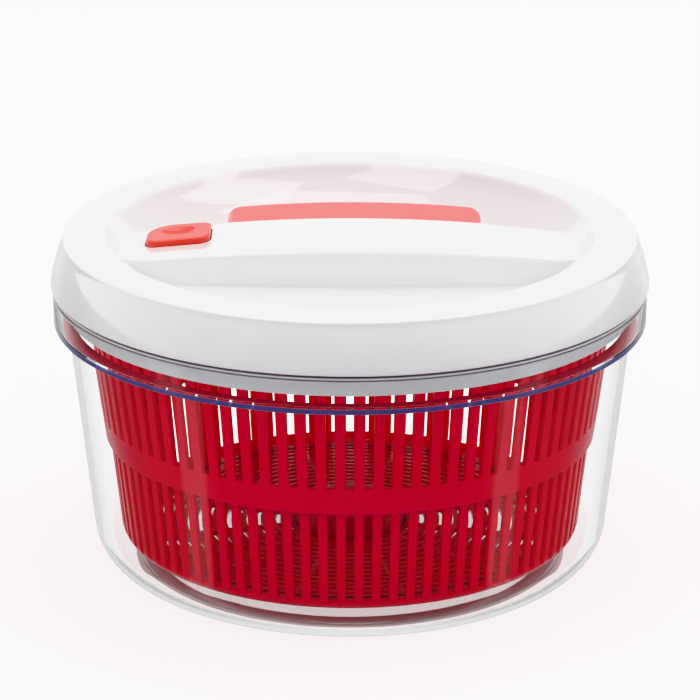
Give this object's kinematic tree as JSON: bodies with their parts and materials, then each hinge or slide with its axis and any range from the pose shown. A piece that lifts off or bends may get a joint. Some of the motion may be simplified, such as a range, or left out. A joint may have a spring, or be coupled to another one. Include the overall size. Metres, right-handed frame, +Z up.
{
  "type": "salad spinner",
  "caption": "Clear round bowl with a red slotted basket on a centre pin and a white lid with a palm bridge, a squeeze trigger that spins the basket, and a thumb brake button.",
  "frame": {"origin": "on the table under the centre of the bowl, on the basket's spin axis", "axes": "+Z up along the basket's spin axis; +X along the lid's palm bridge, away from the brake button; +Y from the bridge towards the trigger, so the palm's side is -Y"},
  "size_m": [0.262, 0.262, 0.15],
  "materials": {
    "clear_plastic": "clear moulded plastic, polished",
    "soft_ring": "soft translucent dark red elastomer",
    "steel": "plain drawn and turned steel",
    "red_basket": "crimson moulded plastic, semi-gloss",
    "bearing_plastic": "natural acetal, matt",
    "white_plastic": "white moulded plastic, gloss",
    "grey_plastic": "light grey moulded plastic, matt",
    "red_trigger": "coral red moulded plastic, satin gloss",
    "pawl_plastic": "dark acetal, matt",
    "pad_rubber": "black rubber, matt"
  },
  "bodies": {
    "bowl": {"bowl": "clear_plastic", "foot_ring": "soft_ring", "pivot_pin": "steel"},
    "basket": {"basket": "red_basket", "basket_bush": "bearing_plastic"},
    "lid": {"lid_cover": "white_plastic", "lid_base": "white_plastic", "lid_screws": "steel", "gear_frame": "grey_plastic", "frame_screws": "steel", "gear_axle": "steel", "shaft_bush": "bearing_plastic", "trigger_spring_left": "steel", "trigger_spring_right": "steel", "brake_spring": "steel"},
    "trigger": {"trigger": "red_trigger", "trigger_rack": "bearing_plastic", "rack_screws": "steel"},
    "step_gear": {"compound_gear": "bearing_plastic"},
    "clutch": {"clutch_gear": "bearing_plastic"},
    "drive": {"drive_shaft": "steel", "pawl_carrier": "bearing_plastic", "carrier_clip": "steel", "drive_disc": "white_plastic", "disc_screw": "steel"},
    "pawl_a": {"ratchet_pawl_a": "pawl_plastic"},
    "pawl_b": {"ratchet_pawl_b": "pawl_plastic"},
    "brake": {"brake_button": "red_trigger", "brake_rod": "white_plastic", "brake_pad": "pad_rubber"}
  },
  "joints": [
    {"name": "basket_spin", "type": "hinge", "parent": "bowl", "child": "basket", "pos_m": [0, 0, 0.02], "axis": [0, 0, 1], "continuous": true},
    {"name": "lid_lift", "type": "slide", "parent": "bowl", "child": "lid", "axis": [0, 0, 1], "range_m": [0, 0.12]},
    {"name": "trigger_squeeze", "type": "slide", "parent": "lid", "child": "trigger", "axis": [0, -1, 0], "range_m": [0, 0.01257], "stiffness_N_per_m": 300, "springref_m": -0.005, "deforming": ["trigger_spring_left", "trigger_spring_right"]},
    {"name": "step_gear_spin", "type": "hinge", "parent": "lid", "child": "step_gear", "pos_m": [0.03, 0, 0.1217], "axis": [0, 0, 1], "range_deg": [-121, 0]},
    {"name": "clutch_spin", "type": "hinge", "parent": "lid", "child": "clutch", "pos_m": [0, 0, 0.1217], "axis": [0, 0, 1], "range_deg": [0, 481]},
    {"name": "disc_spin", "type": "hinge", "parent": "lid", "child": "drive", "pos_m": [0, 0, 0.12], "axis": [0, 0, 1], "continuous": true},
    {"name": "brake_press", "type": "slide", "parent": "lid", "child": "brake", "axis": [0, 0, -1], "range_m": [0, 0.0028], "stiffness_N_per_m": 400, "springref_m": -0.003, "deforming": ["brake_spring"]},
    {"name": "pawl_a_swing", "type": "hinge", "parent": "drive", "child": "pawl_a", "pos_m": [0.0055, 0, 0.129], "axis": [0, 0, 1], "range_deg": [0, 16], "stiffness_Nm_per_rad": 0.0005},
    {"name": "pawl_b_swing", "type": "hinge", "parent": "drive", "child": "pawl_b", "pos_m": [-0.0055, 0, 0.129], "axis": [0, 0, 1], "range_deg": [0, 16], "stiffness_Nm_per_rad": 0.0005}
  ],
  "couplings": [
    {"joint": "step_gear_spin", "follows": "trigger_squeeze", "rad_per_m": -166.67},
    {"joint": "clutch_spin", "follows": "trigger_squeeze", "rad_per_m": 666.67},
    {"joint": "disc_spin", "follows": "basket_spin", "ratio": 1}
  ]
}
